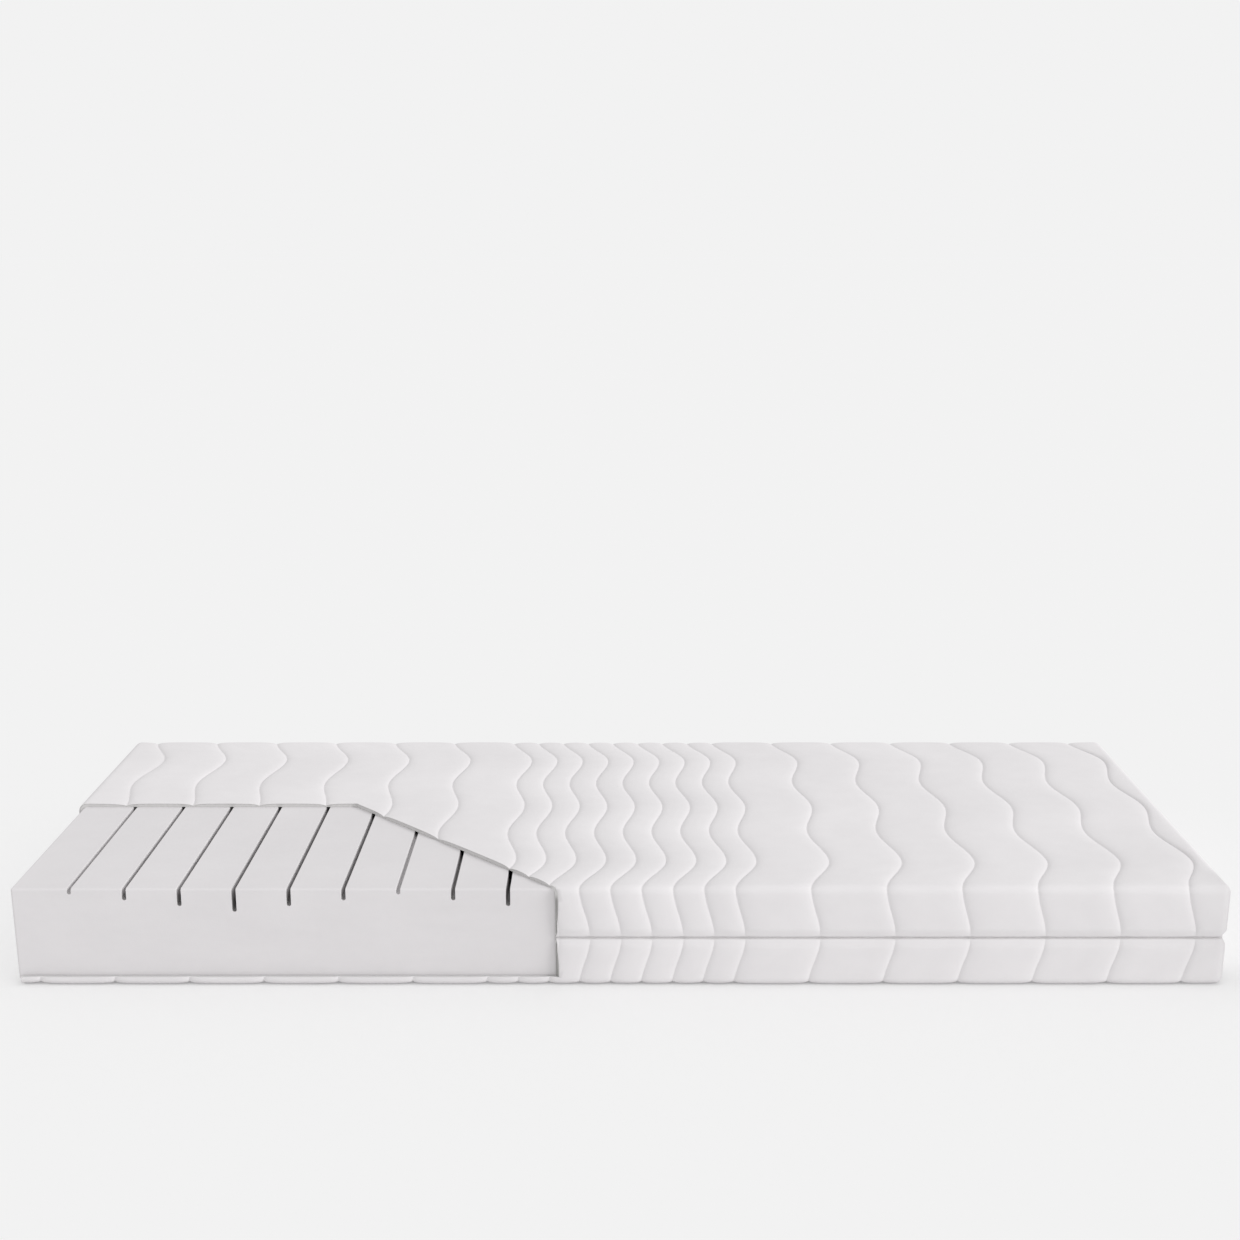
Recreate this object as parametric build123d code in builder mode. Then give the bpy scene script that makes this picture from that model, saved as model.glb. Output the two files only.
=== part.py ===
from build123d import *
from collections import namedtuple
from math import floor
import os

# Mattress with a foam core in a quilted cover of two halves, joined by a zip round the sides.
# One corner of the cover is cut away to show the core. Millimetres.
# X runs along the length, Y from the front long side to the back one, Z up.
# The origin is the middle of the underside.

# Overall size
LENGTH = 2000.0
WIDTH = 900.0
HEIGHT = 173.0
CORNER_RADIUS = 15.0
EDGE_RADIUS = 14.0

# Quilt layers, from the outside in
TICKING = 1.2
PANEL_WADDING = 4.9
SIDE_WADDING = 5.7
BACKING = 0.6
WADDING_EDGE = 0.7

# Foam core
PANEL_CLEARANCE = 0.3
SIDE_CLEARANCE = 2.5
CORE_EDGE_RADIUS = 4.0
LINING_RADIUS = 5.0
SLIT_PITCH = 89.5
SLIT_WIDTH = 7.5
SLIT_STEP = 10.0
SLIT_END_MARGIN = 100.0
SLITS_TO_DEEPEST = 3

# Hems and zip, at the middle of the side wall
ZIP_HEIGHT = 82.0
HEM_FLANGE = 5.5
HEM_CLEARANCE = 0.2
TAPE_THICKNESS = 0.8
TAPE_WIDTH = 14.0
COIL_HEIGHT = 1.6
COIL_GAP = 1.4

# Ends of the zip, on the back wall
ZIP_END_INSET = 67.0
STOP_LENGTH = 3.0
STOP_SPACING = 6.0
STOP_PROUD = 0.3
STOP_EDGE_RADIUS = 0.5
COIL_BREAK_WIDTH = 30.0

# Slider and pull
SLIDER_PARK = 18.0
SLIDER_LENGTH = 12.0
SLIDER_HEIGHT = 9.0
SLIDER_NOSE_HEIGHT = 7.0
SLIDER_ROUND = 1.2
PLATE_THICKNESS = 1.2
INNER_PLATE_THICKNESS = 1.0
SLIDER_CLEARANCE = 0.3
WEB_LENGTH = 5.0
LUG_THICKNESS = 0.9
LUG_RADIUS = 1.6
PIN_RADIUS = 0.6
EYE_CLEARANCE = 0.2
EYE_WALL = 0.6
EYE_WIDTH = 2.6
PULL_LENGTH = 24.0
PULL_WIDTH = 6.0
PULL_THICKNESS = 1.2
PULL_ROUND = 1.5
PULL_HOLE_RADIUS = 1.2

# Cutaway at the front left corner
CUT_DEPTH = 458.0
CUT_BACK_LENGTH = 516.5
CUT_FRONT_LENGTH = 904.0
LIP_HEIGHT = 14.5
CUT_END_INSET = 16.0
CUT_OVERSHOOT = 50.0

# Sizes that follow from those above
BACKING_INSET = TICKING + SIDE_WADDING
LINING_INSET = BACKING_INSET + BACKING
HEM_INSET = LINING_INSET - TICKING - BACKING
TAPE_INSET = LINING_INSET + TAPE_THICKNESS
CORE_INSET = LINING_INSET + SIDE_CLEARANCE
CORE_PANEL_INSET = TICKING + PANEL_WADDING + BACKING + PANEL_CLEARANCE
OUTER_EDGE_RADIUS = min(EDGE_RADIUS, CORNER_RADIUS - 1.0)
BACK = WIDTH / 2
ZIP_END_X = LENGTH / 2 - ZIP_END_INSET
SLIDER_X = ZIP_END_X - SLIDER_PARK
CORE_TOP = HEIGHT - CORE_PANEL_INSET
HEM_GAP = COIL_GAP + 2 * (COIL_HEIGHT + HEM_CLEARANCE)

Half = namedtuple("Half", "name panel_z way depth")
UPPER = Half("upper", HEIGHT, -1, HEIGHT - ZIP_HEIGHT)
LOWER = Half("lower", 0.0, 1, ZIP_HEIGHT)

os.makedirs("parts", exist_ok=True)


def write(builder, name):
    """Labels a finished piece and writes it as its own file."""
    builder.part.label = name
    export_step(builder.part, f"parts/{name}.step")


def outline(inset):
    """The mattress's plan, drawn in from its outer face by an inset."""
    radius = CORNER_RADIUS - inset
    RectangleRounded(LENGTH - 2 * inset, WIDTH - 2 * inset, radius)


def span(half, near, far):
    """Low level and height of a slab between two distances from a half's panel face."""
    ends = sorted((half.panel_z + half.way * near, half.panel_z + half.way * far))
    return ends[0], ends[1] - ends[0]


def filled_half(half, inset, panel_inset, edge_radius, end, hem_chamfer):
    """A solid block that fills one cover half inside an inset, with its panel's edge rounded."""
    with BuildPart() as block:
        low, height = span(half, panel_inset, end)
        with BuildSketch(Plane.XY.offset(low)):
            outline(inset)
        extrude(amount=height)
        faces = block.faces().filter_by(Axis.Z).sort_by(Axis.Z)
        panel_face = faces[0] if half.way > 0 else faces[-1]
        fillet(panel_face.edges(), radius=edge_radius)
        if hem_chamfer:
            faces = block.faces().filter_by(Axis.Z).sort_by(Axis.Z)
            hem_face = faces[-1] if half.way > 0 else faces[0]
            chamfer(hem_face.edges(), length=hem_chamfer)
    return block.part


def ring(half, outer_inset, inner_inset, near, far):
    """A band round the mattress between two insets, placed by its distances from the zip line."""
    with BuildPart() as band:
        low, height = span(half, half.depth - far, half.depth - near)
        with BuildSketch(Plane.XY.offset(low)):
            outline(outer_inset)
        extrude(amount=height)
        with BuildSketch(Plane.XY.offset(low)):
            outline(inner_inset)
        extrude(amount=height, mode=Mode.SUBTRACT)
    return band.part


def cutaway():
    """What is taken out of the cover: a prism above the lip, and the whole left end wall."""
    left = -LENGTH / 2
    front = -WIDTH / 2
    back = front + CUT_DEPTH
    slope = (CUT_FRONT_LENGTH - CUT_BACK_LENGTH) / CUT_DEPTH
    with BuildPart() as prism:
        with BuildSketch(Plane.XY.offset(LIP_HEIGHT)):
            with BuildLine():
                Polyline(
                    (left - CUT_OVERSHOOT, front - CUT_OVERSHOOT),
                    (left + CUT_FRONT_LENGTH + slope * CUT_OVERSHOOT, front - CUT_OVERSHOOT),
                    (left + CUT_BACK_LENGTH, back),
                    (left - CUT_OVERSHOOT, back),
                    close=True,
                )
            make_face()
        extrude(amount=HEIGHT)
        with BuildSketch(Plane.XY.offset(-CUT_OVERSHOOT)):
            with Locations((left - CUT_OVERSHOOT, front - CUT_OVERSHOOT)):
                Rectangle(
                    CUT_OVERSHOOT + CUT_END_INSET,
                    CUT_OVERSHOOT + CUT_DEPTH,
                    align=(Align.MIN, Align.MIN),
                )
        extrude(amount=CUT_OVERSHOOT + HEIGHT)
    return prism.part


# --- Foam core: one block with slits of waving depth across its top ---
slit_count = floor((LENGTH - 2 * SLIT_END_MARGIN) / SLIT_PITCH) + 1
with BuildPart() as foam_core:
    with BuildSketch(Plane.XY.offset(CORE_PANEL_INSET)):
        outline(CORE_INSET)
    extrude(amount=CORE_TOP - CORE_PANEL_INSET)
    flat_faces = foam_core.faces().filter_by(Axis.Z)
    fillet(flat_faces.edges(), radius=CORE_EDGE_RADIUS)
    for index in range(slit_count):
        from_end = min(index, slit_count - 1 - index)
        wave = abs(from_end % (2 * SLITS_TO_DEEPEST) - SLITS_TO_DEEPEST)
        depth = SLIT_STEP * (SLITS_TO_DEEPEST + 1 - wave)
        slit_x = (index - (slit_count - 1) / 2) * SLIT_PITCH
        with BuildSketch(Plane.XY.offset(CORE_TOP - depth)):
            with Locations((slit_x, 0)):
                Rectangle(SLIT_WIDTH, WIDTH)
        extrude(amount=depth, mode=Mode.SUBTRACT)
write(foam_core, "foam_core")


# --- Cover halves: ticking outside, wadding between, backing inside ---
cut = cutaway()
for half in (UPPER, LOWER):
    hem_end = half.depth - HEM_GAP / 2
    wall_end = hem_end - HEM_FLANGE
    outer = filled_half(half, 0.0, 0.0, OUTER_EDGE_RADIUS, wall_end, HEM_INSET)
    wadding_fill = filled_half(
        half, TICKING, TICKING, OUTER_EDGE_RADIUS - TICKING,
        wall_end - TICKING, SIDE_WADDING - WADDING_EDGE,
    )
    backing_fill = filled_half(
        half, BACKING_INSET, TICKING + PANEL_WADDING, LINING_RADIUS + BACKING, hem_end, 0.0
    )
    lining_space = filled_half(
        half, LINING_INSET, TICKING + PANEL_WADDING + BACKING, LINING_RADIUS, hem_end, 0.0
    )
    flange_low, flange_height = span(half, wall_end, hem_end)

    with BuildPart() as ticking:
        add(outer)
        with BuildSketch(Plane.XY.offset(flange_low)):
            outline(HEM_INSET)
        extrude(amount=flange_height)
        add(wadding_fill, mode=Mode.SUBTRACT)
        add(backing_fill, mode=Mode.SUBTRACT)
        add(cut, mode=Mode.SUBTRACT)
    write(ticking, f"{half.name}_ticking")

    with BuildPart() as wadding:
        add(wadding_fill)
        add(backing_fill, mode=Mode.SUBTRACT)
        add(cut, mode=Mode.SUBTRACT)
    write(wadding, f"{half.name}_wadding")

    with BuildPart() as backing:
        add(backing_fill)
        add(lining_space, mode=Mode.SUBTRACT)
        add(cut, mode=Mode.SUBTRACT)
    write(backing, f"{half.name}_backing")


# --- Zip tapes, coils and end stops, one set on each half ---
stop_start = ZIP_END_X
stop_end = ZIP_END_X + 2 * STOP_LENGTH + STOP_SPACING
for half in (UPPER, LOWER):
    tape_band = ring(half, LINING_INSET, TAPE_INSET, COIL_GAP / 2, COIL_GAP / 2 + TAPE_WIDTH)
    with BuildPart() as tape:
        add(tape_band)
        add(cut, mode=Mode.SUBTRACT)
    write(tape, f"{half.name}_zip_tape")

    coil_band = ring(half, HEM_INSET, LINING_INSET, COIL_GAP / 2, COIL_GAP / 2 + COIL_HEIGHT)
    coil_low, coil_height = span(
        half, half.depth - COIL_GAP / 2 - COIL_HEIGHT, half.depth - COIL_GAP / 2
    )
    stop_centre = (stop_start + stop_end) / 2
    with BuildPart() as coil:
        add(coil_band)
        add(cut, mode=Mode.SUBTRACT)
        with BuildSketch(Plane.XY.offset(coil_low)):
            with Locations((stop_centre, BACK - HEM_INSET)):
                Rectangle(stop_end - stop_start, COIL_BREAK_WIDTH)
        extrude(amount=coil_height, mode=Mode.SUBTRACT)
    write(coil, f"{half.name}_zip_coil")

    stop_depth = LINING_INSET - HEM_INSET + STOP_PROUD
    stop_y = BACK - LINING_INSET + stop_depth / 2
    with BuildPart() as stops:
        with BuildSketch(Plane.XY.offset(coil_low)):
            with Locations(
                (stop_start + STOP_LENGTH / 2, stop_y), (stop_end - STOP_LENGTH / 2, stop_y)
            ):
                Rectangle(STOP_LENGTH, stop_depth)
        extrude(amount=coil_height)
        outer_edges = stops.edges().filter_by(Axis.Z).group_by(Axis.Y)[-1]
        fillet(outer_edges, radius=min(STOP_EDGE_RADIUS, STOP_LENGTH / 3))
    write(stops, f"{half.name}_zip_stops")


# --- Zip slider: two plates with a thin web between them, and lugs that hold the pull's pin ---
outer_plate_y = BACK - HEM_INSET + SLIDER_CLEARANCE
inner_plate_y = BACK - TAPE_INSET - SLIDER_CLEARANCE
plate_face_y = outer_plate_y + PLATE_THICKNESS
eye_radius = PIN_RADIUS + EYE_CLEARANCE + EYE_WALL
pin_y = plate_face_y + eye_radius + SLIDER_CLEARANCE
lug_inner_z = EYE_WIDTH / 2 + EYE_CLEARANCE
web_thickness = COIL_GAP - 2 * SLIDER_CLEARANCE


def slider_outline():
    """The slider's plate, seen square on: wide where the coils enter, narrower at its nose."""
    nose = SLIDER_X + SLIDER_LENGTH / 2
    mouth = SLIDER_X - SLIDER_LENGTH / 2
    Polygon(
        (mouth, ZIP_HEIGHT - SLIDER_HEIGHT / 2),
        (SLIDER_X, ZIP_HEIGHT - SLIDER_HEIGHT / 2),
        (nose, ZIP_HEIGHT - SLIDER_NOSE_HEIGHT / 2),
        (nose, ZIP_HEIGHT + SLIDER_NOSE_HEIGHT / 2),
        (SLIDER_X, ZIP_HEIGHT + SLIDER_HEIGHT / 2),
        (mouth, ZIP_HEIGHT + SLIDER_HEIGHT / 2),
        align=None,
    )


with BuildPart() as zip_slider:
    with BuildSketch(Plane.XZ.offset(-plate_face_y)) as plate:
        slider_outline()
        fillet(plate.vertices(), radius=SLIDER_ROUND)
    extrude(amount=PLATE_THICKNESS)
    with BuildSketch(Plane.XZ.offset(-inner_plate_y)) as inner_plate:
        slider_outline()
        fillet(inner_plate.vertices(), radius=SLIDER_ROUND)
    extrude(amount=INNER_PLATE_THICKNESS)
    with BuildSketch(Plane.XZ.offset(-outer_plate_y)):
        with Locations((SLIDER_X, ZIP_HEIGHT)):
            Rectangle(WEB_LENGTH, web_thickness)
    extrude(amount=outer_plate_y - inner_plate_y)
    for lug_z in (ZIP_HEIGHT + lug_inner_z, ZIP_HEIGHT - lug_inner_z - LUG_THICKNESS):
        with BuildSketch(Plane.XY.offset(lug_z)):
            with Locations((SLIDER_X, pin_y)):
                Circle(LUG_RADIUS)
            with Locations((SLIDER_X, (pin_y + plate_face_y) / 2)):
                Rectangle(2 * LUG_RADIUS, pin_y - plate_face_y)
        extrude(amount=LUG_THICKNESS)
    with BuildSketch(Plane.XY.offset(ZIP_HEIGHT - lug_inner_z)):
        with Locations((SLIDER_X, pin_y)):
            Circle(PIN_RADIUS)
    extrude(amount=2 * lug_inner_z)
write(zip_slider, "zip_slider")


# --- Pull tab: an eye round the pin and a flat tab that lies back along the zip ---
neck_end = SLIDER_X - LUG_RADIUS - SLIDER_CLEARANCE
tab_length = PULL_LENGTH - (SLIDER_X - neck_end)
with BuildPart() as pull_tab:
    with BuildSketch(Plane.XZ.offset(-(pin_y + PULL_THICKNESS / 2))) as tab:
        with Locations((neck_end - tab_length / 2, ZIP_HEIGHT)):
            RectangleRounded(tab_length, PULL_WIDTH, PULL_ROUND)
        with Locations((SLIDER_X - PULL_LENGTH + PULL_WIDTH / 2, ZIP_HEIGHT)):
            Circle(PULL_HOLE_RADIUS, mode=Mode.SUBTRACT)
        with Locations(((neck_end + SLIDER_X - PULL_ROUND) / 2, ZIP_HEIGHT)):
            Rectangle(SLIDER_X - neck_end + PULL_ROUND, EYE_WIDTH)
    extrude(amount=PULL_THICKNESS)
    with BuildSketch(Plane.XY.offset(ZIP_HEIGHT - EYE_WIDTH / 2)):
        with Locations((SLIDER_X, pin_y)):
            Circle(eye_radius)
    extrude(amount=EYE_WIDTH)
    with BuildSketch(Plane.XY.offset(ZIP_HEIGHT - EYE_WIDTH / 2)):
        with Locations((SLIDER_X, pin_y)):
            Circle(PIN_RADIUS + EYE_CLEARANCE)
    extrude(amount=EYE_WIDTH, mode=Mode.SUBTRACT)
write(pull_tab, "pull_tab")
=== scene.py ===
"""Foam mattress in a wave-quilted, zip-off cover, with one corner of the cover cut away."""

import logging
import math
from dataclasses import dataclass
from enum import Enum
from typing import Callable, Iterable, Optional, Sequence

import bmesh
import bpy
import numpy as np
from mathutils import Euler, Matrix, Vector


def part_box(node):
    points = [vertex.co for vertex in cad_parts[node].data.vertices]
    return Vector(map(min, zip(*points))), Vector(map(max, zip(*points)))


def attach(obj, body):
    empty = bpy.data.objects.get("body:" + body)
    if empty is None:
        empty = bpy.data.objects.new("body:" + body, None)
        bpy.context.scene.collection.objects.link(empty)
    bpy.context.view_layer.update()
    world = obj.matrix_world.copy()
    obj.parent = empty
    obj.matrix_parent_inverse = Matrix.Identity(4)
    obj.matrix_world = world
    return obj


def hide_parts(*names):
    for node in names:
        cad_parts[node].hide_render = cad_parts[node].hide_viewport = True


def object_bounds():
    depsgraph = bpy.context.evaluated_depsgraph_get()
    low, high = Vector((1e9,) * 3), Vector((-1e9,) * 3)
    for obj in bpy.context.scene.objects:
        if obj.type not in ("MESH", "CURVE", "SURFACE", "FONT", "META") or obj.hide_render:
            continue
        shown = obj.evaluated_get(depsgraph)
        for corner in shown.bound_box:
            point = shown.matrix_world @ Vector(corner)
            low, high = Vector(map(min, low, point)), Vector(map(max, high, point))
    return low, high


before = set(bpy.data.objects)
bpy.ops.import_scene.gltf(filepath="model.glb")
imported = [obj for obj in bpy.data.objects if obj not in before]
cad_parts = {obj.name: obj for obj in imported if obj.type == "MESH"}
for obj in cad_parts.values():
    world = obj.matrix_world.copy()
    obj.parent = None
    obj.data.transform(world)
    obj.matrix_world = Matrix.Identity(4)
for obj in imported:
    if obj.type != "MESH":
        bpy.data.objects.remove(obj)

CAD_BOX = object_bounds()
MM = 0.001
LOG = logging.getLogger("mattress")
Array = np.ndarray


# ------------------------------------------------------------------ small helpers

def smoothstep(value: Array) -> Array:
    """Eases from 0 to 1 as value goes from 0 to 1."""
    t = np.clip(value, 0.0, 1.0)
    return t * t * (3.0 - 2.0 * t)


def graded(reach: float, first: float = 1.2 * MM, growth: float = 1.45,
           widest: float = 13.0 * MM) -> list[float]:
    """Distances from a stitch line out to a reach, close together near the line.

    Args:
        reach: the last distance.
        first: the first step.
        growth: how much each step grows on the one before.
        widest: the widest step.

    Returns:
        The distances, the last one being the reach.
    """
    places, here, step = [], 0.0, first
    while here + 1.3 * step < reach:
        here += step
        places.append(here)
        step = min(step * growth, widest)
    return places + [reach]


def new_object(name: str, mesh: bpy.types.Mesh) -> bpy.types.Object:
    """Links a new object that shows a mesh and returns it."""
    made = bpy.data.objects.new(name, mesh)
    bpy.context.scene.collection.objects.link(made)
    return made


def finish_bmesh(bm: bmesh.types.BMesh, name: str, smooth: bool = True) -> bpy.types.Object:
    """Turns a bmesh into an object.

    Args:
        bm: the bmesh, which is freed.
        name: the new object's name.
        smooth: whether its faces are shaded smooth.

    Returns:
        The new object.
    """
    mesh = bpy.data.meshes.new(name)
    bm.to_mesh(mesh)
    bm.free()
    if smooth:
        mesh.shade_smooth()
    else:
        mesh.shade_flat()
    return new_object(name, mesh)


def box_bmesh(low: Vector, high: Vector) -> bmesh.types.BMesh:
    """A box between two opposite corners."""
    bm = bmesh.new()
    bmesh.ops.create_cube(bm, size=1.0)
    bmesh.ops.scale(bm, verts=bm.verts, vec=high - low)
    bmesh.ops.translate(bm, verts=bm.verts, vec=(low + high) / 2)
    return bm


def apply_modifiers(piece: bpy.types.Object) -> None:
    """Makes a piece's modifiers part of its mesh."""
    graph = bpy.context.evaluated_depsgraph_get()
    graph.update()
    made = bpy.data.meshes.new_from_object(piece.evaluated_get(graph), depsgraph=graph)
    old = piece.data
    piece.modifiers.clear()
    piece.data = made
    bpy.data.meshes.remove(old)


def cut_out(piece: bpy.types.Object, cutter: bpy.types.Object) -> None:
    """Takes a cutter out of a closed piece; the cut faces wear the cutter's finish.

    Args:
        piece: the piece to cut.
        cutter: the closed shape to take out, which is removed afterwards.
    """
    step = piece.modifiers.new(cutter.name, "BOOLEAN")
    step.operation, step.solver, step.object = "DIFFERENCE", "MANIFOLD", cutter
    step.material_mode = "TRANSFER"
    apply_modifiers(piece)
    bpy.data.objects.remove(cutter)


def stand_for(piece: bpy.types.Object, node: str, body: str) -> None:
    """Makes a piece stand for a CAD node, and ride with a body."""
    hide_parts(node)
    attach(piece, body)


def repeat(shape: Callable[[bmesh.types.BMesh, Matrix], None], runs: Sequence[Sequence[Matrix]],
           name: str) -> bpy.types.Object:
    """Makes one piece of a small shape that is repeated along several runs.

    Args:
        shape: adds the small shape to a bmesh at a place.
        runs: the places of each run.
        name: the new object's name.

    Returns:
        The new object.
    """
    whole = bmesh.new()
    for run in runs:
        part = bmesh.new()
        for place in run:
            shape(part, place)
        mesh = bpy.data.meshes.new(name + "_run")
        part.to_mesh(mesh)
        part.free()
        whole.from_mesh(mesh)
        bpy.data.meshes.remove(mesh)
    return finish_bmesh(whole, name)


def frame_matrix(at: Array, along: Array, out: Array) -> Matrix:
    """A transform to a point, with its X along one direction and its Z out along another."""
    x = along / np.linalg.norm(along)
    y = np.cross(out, x)
    y = y / np.linalg.norm(y)
    z = np.cross(x, y)
    turn = Matrix((x, y, z)).transposed().to_4x4()
    return Matrix.Translation(Vector(at)) @ turn


# ------------------------------------------------------------------ shader building

class Tree:
    """Short ways to add and wire nodes in a shader tree."""

    def __init__(self, tree: bpy.types.NodeTree) -> None:
        """Keeps the tree that is built."""
        self.tree = tree

    def add(self, kind: str, inputs: Optional[dict] = None, **settings: object) -> bpy.types.Node:
        """Adds a node.

        Args:
            kind: the node's type.
            inputs: values or sockets for its inputs, by name or index.
            settings: the node's own properties.

        Returns:
            The new node.
        """
        node = self.tree.nodes.new(kind)
        for name, value in settings.items():
            setattr(node, name, value)
        for name, value in (inputs or {}).items():
            socket = node.inputs[name]
            if isinstance(value, bpy.types.NodeSocket):
                self.tree.links.new(value, socket)
            else:
                socket.default_value = value
        return node

    def math(self, operation: str, *values: object) -> bpy.types.NodeSocket:
        """Adds a math node on the given values and returns its result."""
        node = self.add("ShaderNodeMath", dict(enumerate(values)), operation=operation)
        return node.outputs[0]

    def weighted(self, first: bpy.types.NodeSocket, share: float,
                 second: bpy.types.NodeSocket, other: float) -> bpy.types.NodeSocket:
        """Adds two values, each in its own share."""
        return self.math("ADD", self.math("MULTIPLY", first, share),
                         self.math("MULTIPLY", second, other))

    def rising(self, vector: bpy.types.NodeSocket, low: float,
               high: float) -> bpy.types.NodeSocket:
        """A value that eases from 0 to 1 between two heights."""
        level = self.add("ShaderNodeSeparateXYZ", {"Vector": vector}).outputs["Z"]
        node = self.add("ShaderNodeMapRange", {
            "Value": level, "From Min": low, "From Max": high}, interpolation_type="SMOOTHSTEP")
        return node.outputs["Result"]

    def noise(self, vector: bpy.types.NodeSocket, scale: float, detail: float = 2.0,
              rough: float = 0.5) -> bpy.types.NodeSocket:
        """Adds a noise texture and returns its value."""
        node = self.add("ShaderNodeTexNoise", {
            "Vector": vector, "Scale": scale, "Detail": detail, "Roughness": rough})
        return node.outputs["Fac"]

    def stretched(self, vector: bpy.types.NodeSocket, scale: tuple) -> bpy.types.NodeSocket:
        """Scales a coordinate by a different amount along each axis."""
        node = self.add("ShaderNodeMapping", {"Vector": vector, "Scale": scale})
        return node.outputs[0]

    def ramp(self, value: bpy.types.NodeSocket, low: tuple, high: tuple,
             start: float = 0.0, end: float = 1.0) -> bpy.types.NodeSocket:
        """Turns a value into a colour between two colours."""
        node = self.add("ShaderNodeValToRGB", {"Fac": value})
        first, last = node.color_ramp.elements
        first.position, last.position = start, end
        first.color, last.color = (*low, 1.0), (*high, 1.0)
        return node.outputs["Color"]

    def between(self, value: bpy.types.NodeSocket, low: float, high: float
                ) -> bpy.types.NodeSocket:
        """Spreads a value from 0 to 1 over a range."""
        node = self.add("ShaderNodeMapRange", {"Value": value, "To Min": low, "To Max": high})
        return node.outputs["Result"]

    def group(self, tree: bpy.types.NodeTree, inputs: dict) -> bpy.types.Node:
        """Places a shader group with its own values."""
        node = self.tree.nodes.new("ShaderNodeGroup")
        node.node_tree = tree
        for name, value in inputs.items():
            if isinstance(value, bpy.types.NodeSocket):
                self.tree.links.new(value, node.inputs[name])
            else:
                node.inputs[name].default_value = value
        return node


def effect_group(name: str, inputs: dict, outputs: Sequence[str],
                 build: Callable[[Tree, dict], dict]) -> bpy.types.NodeTree:
    """Makes a shader group of a shared effect, once.

    Args:
        name: the group's name.
        inputs: each input's name and default; None stands for a vector.
        outputs: the names of the value outputs.
        build: makes the nodes and returns each output's socket.

    Returns:
        The group's node tree.
    """
    if name in bpy.data.node_groups:
        return bpy.data.node_groups[name]
    tree = bpy.data.node_groups.new(name, "ShaderNodeTree")
    for key, default in inputs.items():
        kind = "NodeSocketVector" if default is None else "NodeSocketFloat"
        socket = tree.interface.new_socket(key, in_out="INPUT", socket_type=kind)
        if default is not None:
            socket.default_value = default
    for key in outputs:
        tree.interface.new_socket(key, in_out="OUTPUT", socket_type="NodeSocketFloat")
    way_in = tree.nodes.new("NodeGroupInput")
    way_out = tree.nodes.new("NodeGroupOutput")
    made = build(Tree(tree), {key: way_in.outputs[key] for key in inputs})
    for key, socket in made.items():
        tree.links.new(socket, way_out.inputs[key])
    return tree


def mottle_group() -> bpy.types.NodeTree:
    """Soft blotches of two sizes, as dye, dirt and crushed pile give."""
    def build(tree: Tree, ins: dict) -> dict:
        """Adds the two noises."""
        broad = tree.noise(ins["Vector"], ins["Scale"], 2.0)
        fine = tree.noise(ins["Vector"], tree.math("MULTIPLY", ins["Scale"], 7.0), 3.0)
        return {"Value": tree.weighted(broad, 0.7, fine, 0.3)}
    return effect_group("cloth_mottle", {"Vector": None, "Scale": 5.0}, ["Value"], build)


def knit_group() -> bpy.types.NodeTree:
    """Rows of small V-shaped loops, as on jersey: a height and a mask of the gaps."""
    def build(tree: Tree, ins: dict) -> dict:
        """Works the loops out from the flat cloth's coordinates."""
        parts = tree.add("ShaderNodeSeparateXYZ", {"Vector": ins["Vector"]})
        across = tree.math("DIVIDE", parts.outputs["X"], ins["Wale"])
        along = tree.math("DIVIDE", parts.outputs["Y"], ins["Course"])
        side = tree.math("PINGPONG", across, 0.5)
        rib = tree.math("SINE", tree.math("MULTIPLY", side, 2.0 * math.pi))
        lean = tree.math("ADD", along, tree.math("MULTIPLY", side, 1.6))
        loop = tree.math("PINGPONG", lean, 0.5)
        bump = tree.math("SINE", tree.math("MULTIPLY", loop, 2.0 * math.pi))
        rounded = tree.math("MULTIPLY", tree.math("ABSOLUTE", bump), 0.6)
        height = tree.math("MULTIPLY", tree.math("ABSOLUTE", rib),
                           tree.math("ADD", rounded, 0.4))
        gaps = tree.math("SUBTRACT", 1.0, height)
        return {"Height": height, "Gaps": gaps}
    return effect_group("jersey_loops", {"Vector": None, "Wale": 1.1 * MM, "Course": 0.9 * MM},
                        ["Height", "Gaps"], build)


def weave_group() -> bpy.types.NodeTree:
    """A plain or herringbone weave: a height for the yarns that cross."""
    def build(tree: Tree, ins: dict) -> dict:
        """Works the crossing yarns out from the flat cloth's coordinates."""
        parts = tree.add("ShaderNodeSeparateXYZ", {"Vector": ins["Vector"]})
        across = tree.math("DIVIDE", parts.outputs["X"], ins["Pitch"])
        along = tree.math("DIVIDE", parts.outputs["Y"], ins["Pitch"])
        zig = tree.math("MULTIPLY", tree.math("PINGPONG", along, 8.0), ins["Slant"])
        warp = tree.math("SINE", tree.math("MULTIPLY", tree.math("ADD", across, zig), math.tau))
        weft = tree.math("SINE", tree.math("MULTIPLY", along, math.tau))
        return {"Height": tree.weighted(warp, 0.3, weft, 0.2)}
    return effect_group("tape_weave", {"Vector": None, "Pitch": 0.8 * MM, "Slant": 0.5},
                        ["Height"], build)


def fibre_group() -> bpy.types.NodeTree:
    """Fine tangled fibres: thin noise drawn out in two directions."""
    def build(tree: Tree, ins: dict) -> dict:
        """Adds the drawn-out noises."""
        one = tree.noise(tree.stretched(ins["Vector"], (1.0, 0.18, 1.0)), ins["Scale"], 4.0, 0.65)
        two = tree.noise(tree.stretched(ins["Vector"], (0.2, 1.0, 0.8)), ins["Scale"], 4.0, 0.65)
        both = tree.math("MULTIPLY", tree.math("ADD", one, two), 0.5)
        return {"Value": both}
    return effect_group("fibre_tangle", {"Vector": None, "Scale": 900.0}, ["Value"], build)


# ------------------------------------------------------------------ finishes

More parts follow.
